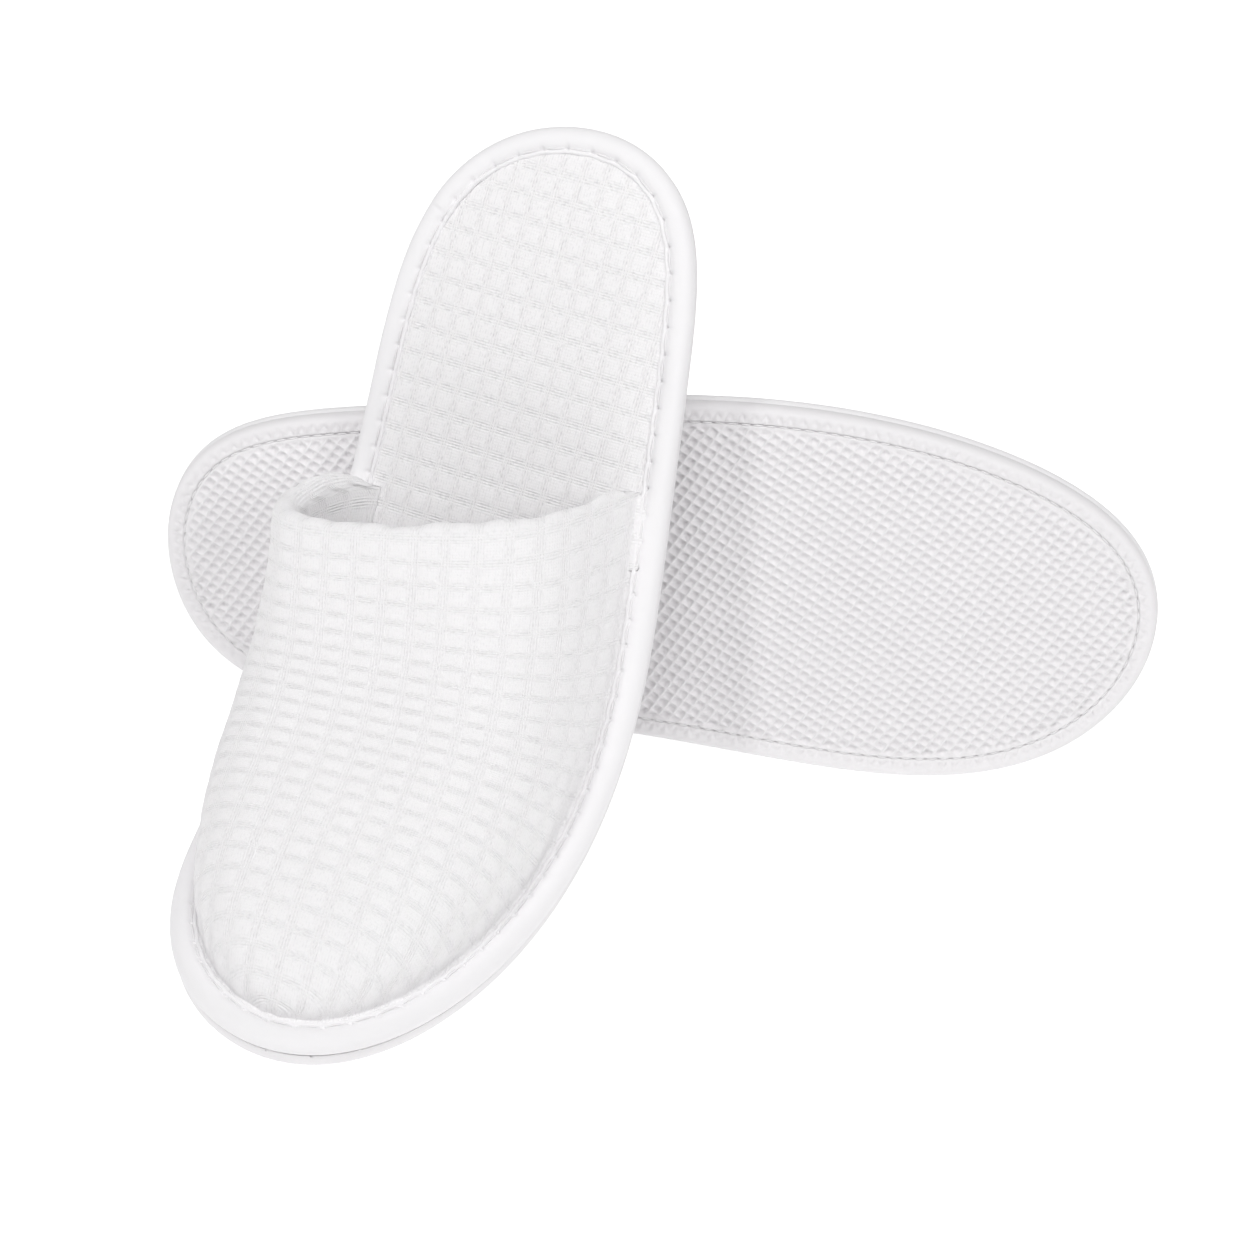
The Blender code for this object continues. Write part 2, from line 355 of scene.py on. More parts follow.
OUTSOLE_TOP = 0.0042
OUTSOLE_EDGE = 0.0053
TREAD_EDGE = -0.0007                   # the dimples end here, at the groove's inner side
DIMPLE_DEPTH = 0.00120
DIMPLE_STEPS = (0.0, 0.10, 0.30, 0.70, 0.90)
DIMPLE_WALL = 0.30                     # share of a cell that each sloping wall takes
PUCKER_PITCH = 0.0029
PUCKER_DEPTH = 0.00110
SEAM_PULL = 0.0006
FACET_PITCH = 0.0034
FACET_SLANT = 0.0052

foam_skin = finish("outsole_foam", (0.885, 0.872, 0.882, 1), (0.862, 0.848, 0.860, 1),
                   0.62, 1800, 35, 0.00002)


def hollow_of(share):
    """How far a dimple has sunk across its cell: 0 on the ridges and 1 on its floor."""
    return smooth((0.5 - abs(share % 1.0 - 0.5)) / DIMPLE_WALL)


def tread_cell(slipper):
    """The sides of one dimple, in the flat layout; the two soles are mirror images."""
    first = Vector((2.65, 1.42)) * 0.001
    second = Vector((1.44, -2.23)) * 0.001
    if slipper.side > 0:
        first.y *= -1
        second.y *= -1
    return Matrix(((first.x, second.x), (first.y, second.y)))


def rim(grow, up, slack):
    """One ring of the rim strip, with rhombic facets as deep as slack."""
    def shape(run):
        first = abs(math.sin(math.pi * (run / FACET_PITCH + grow / FACET_SLANT)))
        second = abs(math.sin(math.pi * (run / FACET_PITCH - grow / FACET_SLANT)))
        return grow, up + slack * (1 - (first * second) ** 0.6)
    return shape


SOLE_RINGS = (                         # outside the seam, height, and depth of the facets
    (-0.00052, 0.00155, 0.0),
    (-0.00018, 0.00155, 0.0),
    (0.00004, 0.00060, 0.0003),
    (0.00050, 0.00018, 0.0008),
    (0.00110, 0.00008, 0.0010),
    (0.00170, 0.00008, 0.0010),
    (0.00225, 0.00012, 0.0007),
    (0.00280, 0.00020, 0.0003),
    (0.00340, 0.00036, 0.0),
    (0.00400, 0.00066, 0.0),
    (0.00450, 0.00112, 0.0),
    (0.00490, 0.00175, 0.0),
    (0.00517, 0.00255, 0.0),
    (OUTSOLE_EDGE, 0.00340, 0.0),
    (OUTSOLE_EDGE, 0.00440, 0.0),
    (0.00527, 0.00510, 0.0),
    (0.00515, 0.00540, 0.0),
    (0.00470, 0.00500, 0.0),
    (0.00420, 0.00465, 0.0),
    (0.00370, 0.00442, 0.0),
    (0.00330, OUTSOLE_TOP, 0.0),
)

for slipper in PAIR:
    cell = tread_cell(slipper)
    into_cell = cell.inverted()
    bm = trimmed_cells(slipper, cell, DIMPLE_STEPS, TREAD_EDGE)
    for vert in bm.verts:
        run, outside = slipper.seam_spot(vert.co.x, vert.co.y)[1:]
        inside = -outside
        place = into_cell @ Vector((vert.co.x - SEAM_LENGTH / 2, vert.co.y))
        wander = noise.noise(Vector((vert.co.x, vert.co.y, 0.3)) * 90)
        hollow = hollow_of(place.x) * hollow_of(place.y)
        crease = 1 - abs(math.sin(math.pi * run / PUCKER_PITCH + 2.2 * wander)) ** 0.7
        reach = 0.0048 + 0.0030 * wander
        pucker = (1 - smooth(inside / reach)) * smooth((inside - 0.0009) / 0.0012)
        up = DIMPLE_DEPTH * (1 + 0.08 * wander) * hollow * smooth((inside - 0.0009) / 0.0018)
        up += PUCKER_DEPTH * (1 - crease) * pucker * (0.7 + 0.8 * wander)
        up += SEAM_PULL * (1 - smooth(inside / 0.0050)) ** 1.5
        vert.co.z = up

    skirt(bm, slipper, [rim(*ring) for ring in SOLE_RINGS])
    bent(bm, slipper)
    made_piece(bm, "sole", slipper, foam_skin, "outsole")


# ---------------------------------------------------------------- lower stitches
# The bobbin thread of the seam: short lockstitches of white polyester, sunk in the sole's groove.

LOWER_STITCH_PITCH = 0.0036
thread_finish = finish("sewing_thread", (0.90, 0.89, 0.90, 1), (0.84, 0.83, 0.84, 1),
                       0.55, 4200, 90, 0.00005)


def stitches(slipper, name, pitch, grow, up, radius, gap, dip, node):
    """A ring of short stitches along the seam, each a slim rounded thread whose ends dive in."""
    bm = bmesh.new()
    count = round(slipper.runs[-1] / pitch)
    pitch = slipper.runs[-1] / count
    for index in range(count):
        made = bmesh.ops.create_uvsphere(bm, u_segments=8, v_segments=6, radius=1.0)["verts"]
        for vert in made:
            length = math.copysign(abs(vert.co.z) ** 0.8, vert.co.z)
            angle = slipper.angle_at((index + 0.5) * pitch + length * (pitch / 2 - gap))
            along, across = outline(angle, grow + radius * vert.co.x, slipper.side)
            sink = dip * abs(length) ** 3
            vert.co = slipper.placed(along, across, up + radius * vert.co.y - sink)
    made_piece(bm, name, slipper, thread_finish, node)


for slipper in PAIR:
    stitches(slipper, "lower_stitches", LOWER_STITCH_PITCH, -0.00035, 0.00085, 0.00028,
             0.00022, -0.0005, "bobbin_thread")


# ---------------------------------------------------------------- hidden layers
# Between sole and insole lie a woven backing and a thin sponge. They are cut flat and bound at
# the edge, so only their foam and weave matter.

sponge = finish("sponge", (0.90, 0.89, 0.87, 1), (0.82, 0.81, 0.79, 1), 0.95, 1400, 60, 0.0003)
backing = finish("backing_cloth", (0.87, 0.86, 0.87, 1), (0.81, 0.80, 0.81, 1),
                 0.92, 2200, 50, 0.0001)
for slipper in PAIR:
    for label, material in (("insole_backing", backing), ("insole_pad", sponge)):
        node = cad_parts[slipper.name + "_" + label]
        for index in range(len(node.material_slots)):
            node.material_slots[index].material = material


# ---------------------------------------------------------------- insoles
# Waffle-weave cotton over the sponge: soft square cells edged by long floats of yarn. The cloth is
# crowned by the sponge and pulled down under the binding all round.

INSOLE_CELL = (0.0064, 0.0072)         # across and along
INSOLE_STEPS = (0.0, 0.12, 0.35, 0.65, 0.88)
INSOLE_EDGE = -0.0004
INSOLE_RIM_UP = 0.0104
INSOLE_CROWN = 0.0013
WAFFLE_RISE = 0.00018
YARN_PITCH = 0.00080

waffle_group, waffle_in, waffle_out = new_group(
    "waffle_weave",
    [
        ("Place", "NodeSocketVector"),
        ("Cell Across", "NodeSocketFloat"),
        ("Cell Along", "NodeSocketFloat"),
        ("Yarn Pitch", "NodeSocketFloat"),
    ],
    [("Height", "NodeSocketFloat"), ("Shade", "NodeSocketFloat")],
)
split = waffle_group.nodes.new("ShaderNodeSeparateXYZ")
waffle_group.links.new(waffle_in["Place"], split.inputs[0])


def float_band(axis, cell_input):
    """How near the edge of its cell a point is, from 0 at the middle to 1 at the edge."""
    place = step_of(waffle_group, "DIVIDE", split.outputs[axis], waffle_in[cell_input])
    middle = step_of(waffle_group, "PINGPONG", place, 0.5)
    band = waffle_group.nodes.new("ShaderNodeMapRange")
    band.interpolation_type = "SMOOTHSTEP"
    band.inputs["From Min"].default_value = 0.30
    band.inputs["From Max"].default_value = 0.10
    waffle_group.links.new(middle, band.inputs["Value"])
    return band.outputs["Result"]


def yarns(axis, pitch):
    """Rounded yarns side by side, counted along one axis."""
    turns = step_of(waffle_group, "DIVIDE", split.outputs[axis], pitch)
    wave = step_of(waffle_group, "SINE", step_of(waffle_group, "MULTIPLY", turns, 2 * math.pi))
    return step_of(waffle_group, "MULTIPLY_ADD", wave, 0.5, 0.5)


side_band = float_band("X", "Cell Across")
end_band = float_band("Y", "Cell Along")
warp = yarns("X", waffle_in["Yarn Pitch"])
weft = yarns("Y", waffle_in["Yarn Pitch"])
warp_floats = step_of(waffle_group, "MULTIPLY", side_band, warp)
weft_floats = step_of(waffle_group, "MULTIPLY", end_band, weft)
floats = step_of(waffle_group, "MAXIMUM", warp_floats, weft_floats)
plain = step_of(waffle_group, "MULTIPLY", step_of(waffle_group, "MULTIPLY", warp, weft), 0.45)
bands = step_of(waffle_group, "MAXIMUM", side_band, end_band)
inner = step_of(waffle_group, "MULTIPLY", step_of(waffle_group, "SUBTRACT", 1.0, bands), plain)
waffle_group.links.new(step_of(waffle_group, "ADD", floats, inner), waffle_out["Height"])
# Painted shade: the gaps between the floats are darkened, and so are thin lines between the warp
# yarns all over the cloth, in random patches; this darkness stands in for shade in the weave
float_gap_shade = step_of(waffle_group, "MULTIPLY", bands, step_of(waffle_group, "SUBTRACT", 1.0, floats))
float_gap_shade = step_of(waffle_group, "POWER", float_gap_shade, 1.5)
warp_line_shade = step_of(waffle_group, "POWER", step_of(waffle_group, "SUBTRACT", 1.0, warp), 2.0)
float_gap_shade = step_of(waffle_group, "MAXIMUM", float_gap_shade, step_of(waffle_group, "MULTIPLY", warp_line_shade, 0.6))
patchy = grain_of(waffle_group, waffle_in["Place"], 950.0, 1.0)
patchy = step_of(waffle_group, "MULTIPLY", step_of(waffle_group, "SUBTRACT", patchy, 0.42), 3.2)
patchy = step_of(waffle_group, "MINIMUM", step_of(waffle_group, "MAXIMUM", patchy, 0.0), 1.0)
waffle_group.links.new(step_of(waffle_group, "MULTIPLY", float_gap_shade, patchy), waffle_out["Shade"])


def waffle_finish(name, light, dark, cell, depth, painted_gap_tone):
    """Waffle cloth: the weave follows the piece's own cloth coordinates, and painted shade darkens
    its colour between the yarns.
    """
    made = finish(name, light, dark, 0.92, 3200, 40, 0.00006)
    tree = made.node_tree
    shader = tree.nodes["Principled BSDF"]
    shader.inputs["Sheen Weight"].default_value = 0.12
    shader.inputs["Sheen Roughness"].default_value = 0.5
    cloth = tree.nodes.new("ShaderNodeUVMap")
    cloth.uv_map = "cloth"
    weave = tree.nodes.new("ShaderNodeGroup")
    weave.node_tree = waffle_group
    weave.inputs["Cell Across"].default_value = cell[0]
    weave.inputs["Cell Along"].default_value = cell[1]
    weave.inputs["Yarn Pitch"].default_value = YARN_PITCH
    tree.links.new(cloth.outputs["UV"], weave.inputs["Place"])
    # Painted shade: the base colour is mixed towards the darker tone given last, where the weave's
    # gaps would lie in shade
    shade = tree.nodes.new("ShaderNodeMix")
    shade.data_type = "RGBA"
    shade.inputs["B"].default_value = painted_gap_tone
    base = shader.inputs["Base Color"].links[0].from_socket
    tree.links.new(base, shade.inputs["A"])
    tree.links.new(weave.outputs["Shade"], shade.inputs["Factor"])
    tree.links.new(shade.outputs["Result"], shader.inputs["Base Color"])
    relief = tree.nodes.new("ShaderNodeBump")
    relief.inputs["Distance"].default_value = depth
    tree.links.new(weave.outputs["Height"], relief.inputs["Height"])
    tree.links.new(shader.inputs["Normal"].links[0].from_socket, relief.inputs["Normal"])
    tree.links.new(relief.outputs["Normal"], shader.inputs["Normal"])
    return made


def pillow(first, second):
    """The soft rise of one waffle cell: 0 along its edges and 1 at its middle."""
    return (abs(math.sin(math.pi * first)) * abs(math.sin(math.pi * second))) ** 0.8


# The last colour is the painted shade in the gaps between the yarns
insole_waffle = waffle_finish("insole_waffle", (0.940, 0.931, 0.938, 1), (0.918, 0.908, 0.916, 1),
                              INSOLE_CELL, 0.00012, (0.72, 0.71, 0.72, 1))

for slipper in PAIR:
    cell = Matrix(((0.0, INSOLE_CELL[1]), (INSOLE_CELL[0], 0.0)))
    bm = trimmed_cells(slipper, cell, INSOLE_STEPS, INSOLE_EDGE)
    for vert in bm.verts:
        outside = slipper.seam_spot(vert.co.x, vert.co.y)[2]
        across = vert.co.y / INSOLE_CELL[0]
        along = (vert.co.x - SEAM_LENGTH / 2) / INSOLE_CELL[1]
        wander = noise.noise(Vector((vert.co.x, vert.co.y, 0.7)) * 28)
        crown = INSOLE_CROWN * smooth((-outside - 0.0004) / 0.013) * (1 + 0.22 * wander)
        rise = WAFFLE_RISE * pillow(across, along) * smooth((-outside - 0.001) / 0.004)
        droop = 0.0009 * (1 - smooth((-outside - 0.0004) / 0.0014))
        vert.co.z = INSOLE_RIM_UP - droop + crown + rise
    skirt(bm, slipper, [lambda run: (INSOLE_EDGE, 0.0088)])
    cloth_map = bm.loops.layers.uv.new("cloth")
    for face in bm.faces:
        for corner in face.loops:
            corner[cloth_map].uv = (corner.vert.co.y, corner.vert.co.x - SEAM_LENGTH / 2)
    bent(bm, slipper)
    insole = made_piece(bm, "insole", slipper, insole_waffle, "insole_cloth")


# ---------------------------------------------------------------- edge bindings
# A folded cotton tape wrapped round the edges of all the layers into a soft roll. The needle pulls
# it down at every stitch, so a narrow lip puffs up between the holes. Its ends lap at the heel.

TAPE_STATIONS = 1320
STITCH_PITCH = 0.0073
ROLL_CENTRE = (0.00265, 0.00795)       # outside the seam, and height
ROLL_RADIUS = 0.00345
TAPE_THICKNESS = 0.0005
LAP_ANGLE = {1: math.radians(324), -1: math.radians(36)}
LAP_LENGTH = 0.015

tape_finish = finish("binding_tape", (0.935, 0.927, 0.937, 1), (0.915, 0.905, 0.916, 1),
                     0.78, 2600, 45, 0.00005)
tape_finish.node_tree.nodes["Principled BSDF"].inputs["Sheen Weight"].default_value = 0.08


def roll_profile():
    """(outside the seam, height, how much the stitches pull) from the hidden leg to the lip."""
    points = [(-0.0006, 0.0047, 0.0), (0.0010, 0.0047, 0.0)]
    for index in range(15):
        turn = math.radians(-90 + 180 * index / 14)
        points.append((
            ROLL_CENTRE[0] + ROLL_RADIUS * math.cos(turn),
            ROLL_CENTRE[1] + ROLL_RADIUS * math.sin(turn),
            0.0,
        ))
    points += [
        (0.00190, 0.01138, 0.10),
        (0.00120, 0.01125, 0.30),
        (0.00060, 0.01098, 0.60),
        (0.00015, 0.01066, 0.90),
        (-0.00020, 0.01052, 1.00),
        (-0.00055, 0.01070, 0.70),
        (-0.00090, 0.01092, 0.35),
        (-0.00125, 0.01092, 0.25),
        (-0.00155, 0.01062, 0.25),
        (-0.00165, 0.01012, 0.20),
        (-0.00150, 0.00970, 0.10),
    ]
    return points


def ring_sheet(stations, rows):
    """A band swept round the seam, still on a unit circle, with one height for each row."""
    bm = bmesh.new()
    bmesh.ops.create_circle(bm, segments=stations, radius=1.0)
    loop = bm.edges[:]
    for row in range(1, rows):
        fresh, loop = extruded(bm, loop)
        bmesh.ops.translate(bm, verts=list(fresh), vec=(0.0, 0.0, 1.0))
    return bm


def thickened(piece, thickness):
    """Give a sheet its thickness, inwards from the face that shows."""
    wall = piece.modifiers.new("thickness", "SOLIDIFY")
    wall.thickness = thickness
    wall.offset = -1
    return piece


for slipper in PAIR:
    profile = roll_profile()
    bm = ring_sheet(TAPE_STATIONS, len(profile))
    total = slipper.runs[-1]
    pitch = total / round(total / STITCH_PITCH)
    lap = slipper.seam_spot(*outline(LAP_ANGLE[slipper.side], 0.0, slipper.side))[1]
    for vert in bm.verts:
        run = total * (math.atan2(vert.co.y, vert.co.x) / (2 * math.pi) % 1.0)
        grow, up, pull = profile[round(vert.co.z)]
        angle = slipper.angle_at(run)
        stitch = abs(math.cos(math.pi * run / pitch))       # 1 at a needle hole
        soft = noise.noise(Vector((math.cos(angle) * 9, math.sin(angle) * 9, grow * 260)))
        swell = max(up - ROLL_CENTRE[1], 0.0) / ROLL_RADIUS
        past_lap = run - lap
        laps = 0.00045 * smooth(past_lap / 0.0006) * (1 - smooth((past_lap - LAP_LENGTH) / 0.004))
        tuck = 0.00125 * pull * pull * stitch ** 40 + 0.00012 * pull * stitch ** 2
        if grow < -0.0005:
            grow += 0.00022 * stitch ** 3
        puff = 1 + 0.035 * soft * swell
        grow = ROLL_CENTRE[0] + (grow - ROLL_CENTRE[0]) * puff if grow > 0 else grow
        up += 0.00022 * soft * swell - tuck + laps * swell
        along, across = outline(angle, grow, slipper.side)
        vert.co = slipper.placed(along, across, up)
    binding = made_piece(bm, "binding", slipper, tape_finish, "edge_binding")
    thickened(binding, TAPE_THICKNESS)


# ---------------------------------------------------------------- upper stitches
# The needle thread lies in the valley between roll and lip, in stitches that dive into the holes.

for slipper in PAIR:
    stitches(slipper, "upper_stitches", STITCH_PITCH, -0.00012, 0.01085, 0.00030,
             0.00045, 0.0006, "needle_thread")


# ---------------------------------------------------------------- uppers
# A dome of waffle cotton over thin sponge, sewn in under the binding. At the throat the cloth
# folds over the sponge in a soft, slightly wavy roll, and ends inside in a hem.

UPPER_FOOT = -0.0024
FLANGE_TOP = 0.0102
THROAT_ANGLE_NEAR = math.radians(67.5)
THROAT_ANGLE_FAR = math.radians(76.0)
THROAT_BOW = 0.0185
TOE_POWER = 2.3
BULGE_FADE = 1.6
SLACK_SOFTENING = 0.8                  # the inner wall of each upper is rounder and bulges more
SLACK_BULGE = 0.0068
SLACK_DEPTH = 0.20
TOE_SOFTENING = 1.4                     # and the toe is rounder than the throat
FOOT_DEPTH_SHARE = 0.4                 # the layers close up where they are sewn in
PADDING_DEPTH = 0.0012
PADDING_THICKNESS = 0.0007
LINING_DEPTH = 0.0036
ARCH_SAMPLES = 260
ARCH_COLUMNS = 118
ARCH_ROWS = 86
FOLD_ROWS = 9
HEM_ROWS = 4
HEM_SHARE = 0.085
HEM_DEPTH = 0.0066
FOLD_BULGE = 0.0036
UPPER_CELL = (0.0083, 0.0068)
UPPER_RISE = 0.00048
CLOTH_THICKNESS = 0.0006


def powered(value, power):
    return math.copysign(abs(value) ** power, value)


def arch_point(slipper, share, turn, depth):
    """A point of the upper: share runs from throat to toe, turn across, and depth inwards."""
    near, far = THROAT_ANGLE_NEAR, THROAT_ANGLE_FAR
    if slipper.side < 0:
        near, far = far, near
    slack = smooth(-math.cos(turn) * slipper.side)
    power = 2 / (slipper.fullness - SLACK_SOFTENING * slack - TOE_SOFTENING * share * share)
    rise = abs(math.sin(turn)) ** power
    depth *= FOOT_DEPTH_SHARE + (1 - FOOT_DEPTH_SHARE) * rise
    depth *= 1 + SLACK_DEPTH * slack * (1 - share) ** 2
    grow = UPPER_FOOT - depth
    right = Vector(outline(near + (math.pi - near) * share, grow, slipper.side))
    left = Vector(outline(2 * math.pi - far - (math.pi - far) * share, grow, slipper.side))
    open_share = (1 - share) ** BULGE_FADE
    reach = powered(math.cos(turn), power) * (1 + slipper.splay * rise * open_share)
    start = (outline(near, grow, 1)[0] + outline(far, grow, 1)[0]) / 2
    run = min(max(((right.x + left.x) / 2 - start) / (SEAM_LENGTH + grow - start), 0.0), 1.0)
    top = (slipper.height - depth) * math.sqrt(1 - run ** TOE_POWER)
    plan = (right + left) / 2 + (right - left) / 2 * reach
    bow = THROAT_BOW * abs(math.sin(turn)) ** (0.5 + 0.45 * slack) * (1 - share) ** 2.5
    sag = slipper.lean * rise * open_share
    sag -= slipper.side * SLACK_BULGE * slack * math.sqrt(rise) * (1 - share) ** 1.3
    return Vector((plan.x + bow, plan.y + sag, FLANGE_TOP + 0.0003 + top * rise))


def arch(slipper, share, depth):
    """One arch of the upper from side to side, in evenly spaced points of the flat layout."""
    raw = [
        arch_point(slipper, share, math.pi * index / ARCH_SAMPLES, depth)
        for index in range(ARCH_SAMPLES + 1)
    ]
    lengths = [0.0]
    for first, second in zip(raw, raw[1:]):
        lengths.append(lengths[-1] + (second - first).length)
    points = []
    index = 0
    for column in range(ARCH_COLUMNS + 1):
        goal = lengths[-1] * column / ARCH_COLUMNS
        while index < ARCH_SAMPLES - 1 and lengths[index + 1] < goal:
            index += 1
        span = max(lengths[index + 1] - lengths[index], 1e-9)
        points.append(raw[index].lerp(raw[index + 1], min((goal - lengths[index]) / span, 1.0)))
    return points, lengths[-1]


def share_of(row, rows):
    """How far towards the toe a row lies; the rows crowd together at the toe."""
    return 1 - (1 - row / rows) ** 1.5


def with_flanges(slipper, points):
    """The arch with the rim that is sewn in under the tape at both ends."""
    ends = []
    for point in (points[0], points[-1]):
        angle = slipper.seam_spot(point.x, point.y)[0]
        ends.append([
            Vector((*outline(angle, grow, slipper.side), FLANGE_TOP)) for grow in (0.0008, -0.0012)
        ])
    return ends[0] + points + ends[1][::-1]


def arch_grid(rows, lengths, drops):
    """A sheet from a list of arches, its cloth coordinates measured from crest and throat."""
    bm = bmesh.new()
    columns = len(rows[0]) - 1
    bmesh.ops.create_grid(bm, x_segments=columns, y_segments=len(rows) - 1, size=1.0)
    cloth_map = bm.loops.layers.uv.new("cloth")
    places = {}
    for vert in bm.verts:
        column = round((vert.co.x + 1) / 2 * columns)
        row = round((vert.co.y + 1) / 2 * (len(rows) - 1))
        places[vert] = (column, row)
    for face in bm.faces:
        for corner in face.loops:
            column, row = places[corner.vert]
            corner[cloth_map].uv = ((column / columns - 0.5) * lengths[row], drops[row])
    for vert, (column, row) in places.items():
        vert.co = rows[row][column]
    return bm, places, columns


# The last colour is the painted shade in the gaps between the yarns
upper_waffle = waffle_finish("upper_waffle", (0.940, 0.932, 0.940, 1), (0.918, 0.909, 0.917, 1),
                             UPPER_CELL, 0.00012, (0.79, 0.78, 0.79, 1))

for slipper in PAIR:
    outer = [arch(slipper, share_of(row, ARCH_ROWS), 0.0) for row in range(ARCH_ROWS)]
    inner = [arch(slipper, HEM_SHARE * row / HEM_ROWS, HEM_DEPTH) for row in range(HEM_ROWS + 1)]
    ahead = arch(slipper, 0.05, HEM_DEPTH / 2)[0]
    middle = arch(slipper, 0.0, HEM_DEPTH / 2)[0]
    rows = [points for points, length in inner[::-1]]
    lengths = [length for points, length in inner[::-1]]
    for index in range(1, FOLD_ROWS):
        turn = math.pi * index / FOLD_ROWS
        share = (1 + math.cos(turn)) / 2
        points = []
        for column in range(ARCH_COLUMNS + 1):
            out = (middle[column] - ahead[column]).normalized()
            wave = noise.noise(Vector((column * 0.095, slipper.side * 3.1, 0.0)))
            lift = min(column, ARCH_COLUMNS - column) / 10
            slack = smooth(-math.cos(math.pi * column / ARCH_COLUMNS) * slipper.side)
            bulge = FOLD_BULGE * (1 + 0.5 * wave + 0.4 * slack) * math.sin(turn) * smooth(lift)
            points.append(outer[0][0][column].lerp(inner[0][0][column], share) + out * bulge)
        rows.append(points)
        lengths.append(outer[0][1])
    rows += [points for points, length in outer]
    lengths += [length for points, length in outer]
    crest = ARCH_COLUMNS // 2
    drops = [0.0]
    for first, second in zip(rows, rows[1:]):
        drops.append(drops[-1] + (second[crest] - first[crest]).length)
    throat_row = HEM_ROWS + FOLD_ROWS
    drops = [drop - drops[throat_row] for drop in drops]
    flanged = [with_flanges(slipper, points) for points in rows]
    bm, places, columns = arch_grid(flanged, lengths, drops)
    bmesh.ops.recalc_face_normals(bm, faces=bm.faces[:])
    bm.normal_update()
    crest_place = (columns // 2, throat_row + 20)
    crest_vert = next(vert for vert, place in places.items() if place == crest_place)
    facing = 1.0 if crest_vert.normal.z > 0 else -1.0
    moves = {}
    for vert, (column, row) in places.items():
        across = (column / columns - 0.5) * lengths[row] / UPPER_CELL[0]
        along = drops[row] / UPPER_CELL[1]
        wander = noise.noise(vert.co * 55)
        edge = smooth(min(column - 2, columns - 2 - column) / 5)
        if row < HEM_ROWS:
            edge = 0.0
        rise = UPPER_RISE * (pillow(across + 0.12 * wander, along) - 0.35) + 0.0005 * wander
        moves[vert] = vert.normal * facing * rise * edge
    for vert, move in moves.items():
        vert.co += move
    bent(bm, slipper)
    if facing < 0:
        bmesh.ops.reverse_faces(bm, faces=bm.faces[:])
    upper = shown_piece(bm, "upper", slipper, upper_waffle, "upper_cloth")
    thickened(upper, CLOTH_THICKNESS)
    finer = upper.modifiers.new("finer", "SUBSURF")
    finer.levels = 1
    finer.render_levels = 1


# ---------------------------------------------------------------- padding
# A thin sponge sheet between the upper's cloth and its lining, from the throat's fold to the toe.
# It is hidden, apart from its edge in the seam, so it is a plain even sheet.

def inner_shell(slipper, name, depth, first_share, rows, thickness, material, node):
    """One of the layers inside the upper, from just behind the throat's fold to the toe."""
    layered = [
        arch(slipper, first_share + (1 - first_share) * share_of(row, rows), depth)
        for row in range(rows)
    ]
    points = [arched for arched, length in layered]
    lengths = [length for arched, length in layered]
    bm, places, columns = arch_grid(points, lengths, [0.0] * rows)
    crest_vert = next(vert for vert, place in places.items() if place == (columns // 2, rows // 4))
    bmesh.ops.recalc_face_normals(bm, faces=bm.faces[:])
    bm.normal_update()
    if crest_vert.normal.z < 0:
        bmesh.ops.reverse_faces(bm, faces=bm.faces[:])
    bent(bm, slipper)
    return thickened(shown_piece(bm, name, slipper, material, node), thickness)


for slipper in PAIR:
    inner_shell(slipper, "padding", PADDING_DEPTH, 0.02, 36, PADDING_THICKNESS,
                sponge, "upper_foam")


# ---------------------------------------------------------------- linings
# Smooth woven cotton inside the upper, tucked under the hem at the throat and sewn in at the foot.

lining_finish = finish("lining_cloth", (0.940, 0.930, 0.938, 1), (0.920, 0.908, 0.917, 1),
                       0.9, 2400, 50, 0.00008)

for slipper in PAIR:
    lining = inner_shell(slipper, "lining", LINING_DEPTH, HEM_SHARE * 0.7, 40, CLOTH_THICKNESS,
                         lining_finish, "upper_lining")


# ---------------------------------------------------------------- floor and lights
# A plain white floor, a wide soft light from above and the left, and an even white surround.

CAST_GLOW = 0.30                       # light the floor gives the pair
SEEN_GLOW = 0.30                       # and what the camera sees on top of it
FLOOR_HALF_WIDTH = 6.0

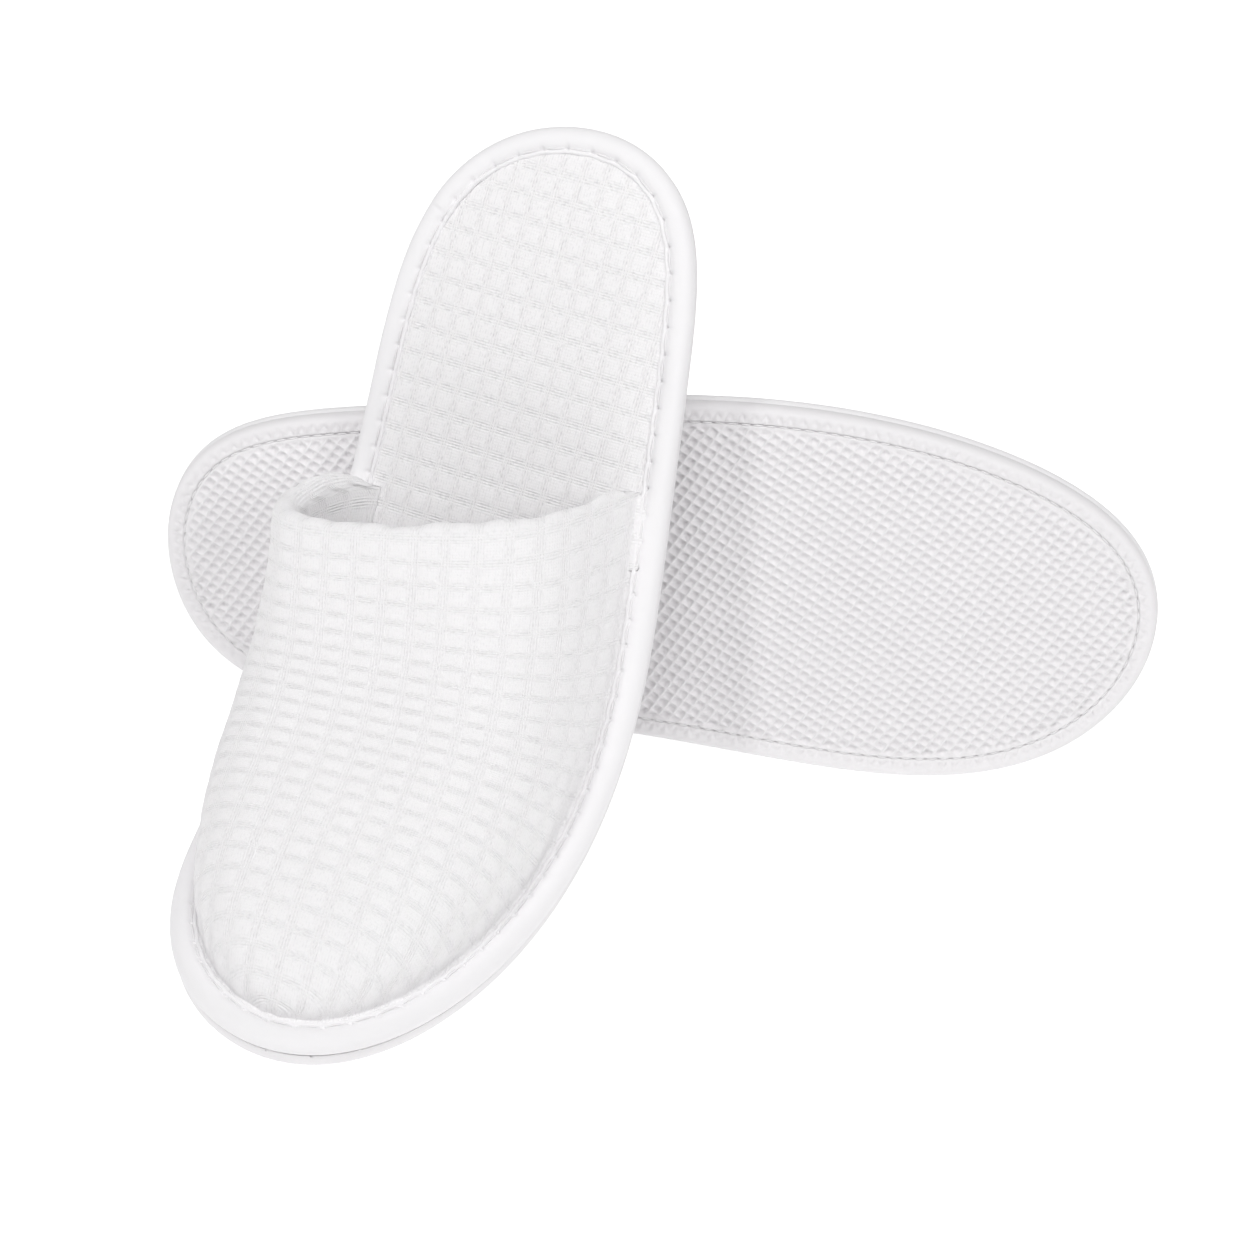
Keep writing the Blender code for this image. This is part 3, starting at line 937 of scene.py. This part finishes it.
floor_mesh = bpy.data.meshes.new("floor")
bm = bmesh.new()
bmesh.ops.create_grid(bm, x_segments=1, y_segments=1, size=FLOOR_HALF_WIDTH)
bm.to_mesh(floor_mesh)
bm.free()
floor = bpy.data.objects.new("floor", floor_mesh)
bpy.context.scene.collection.objects.link(floor)
floor_paint = finish("floor_paint", (0.95, 0.95, 0.95, 1), (0.94, 0.94, 0.94, 1),
                     0.9, 40, 1, 0.0001)
floor_shader = floor_paint.node_tree.nodes["Principled BSDF"]
floor_shader.inputs["Emission Color"].default_value = (1, 1, 1, 1)
ray = floor_paint.node_tree.nodes.new("ShaderNodeLightPath").outputs["Is Camera Ray"]
glow = step_of(floor_paint.node_tree, "MULTIPLY_ADD", ray, SEEN_GLOW, CAST_GLOW)
floor_paint.node_tree.links.new(glow, floor_shader.inputs["Emission Strength"])
floor.data.materials.append(floor_paint)

world = bpy.data.worlds.new("surround")
world.use_nodes = True
world.node_tree.nodes["Background"].inputs["Color"].default_value = (1.0, 0.995, 1.0, 1.0)
world.node_tree.nodes["Background"].inputs["Strength"].default_value = 0.36
bpy.context.scene.world = world


def softbox(name, azimuth, elevation, size, power):
    """A square area light 1.5 m from the pair; azimuth 0 is the front and -90 the left."""
    lamp = bpy.data.lights.new(name, "AREA")
    lamp.shape = "SQUARE"
    lamp.size = size
    lamp.energy = power
    turn = math.radians(azimuth)
    rise = math.radians(elevation)
    away = Vector((
        math.sin(turn) * math.cos(rise),
        -math.cos(turn) * math.cos(rise),
        math.sin(rise),
    ))
    holder = bpy.data.objects.new(name, lamp)
    holder.matrix_world = (
        Matrix.Translation(Vector((0.0, 0.0, 0.05)) + away * 1.5)
        @ (-away).to_track_quat("-Z", "Y").to_matrix().to_4x4()
    )
    bpy.context.scene.collection.objects.link(holder)


softbox("key", -60, 50, 0.20, 3.5)
softbox("left_fill", -70, 25, 0.80, 1.2)
softbox("top", 0, 80, 0.80, 7.0)
softbox("right_fill", 50, 40, 0.80, 4.8)
bpy.context.scene.view_settings.view_transform = "Standard"

bpy.context.view_layer.update()
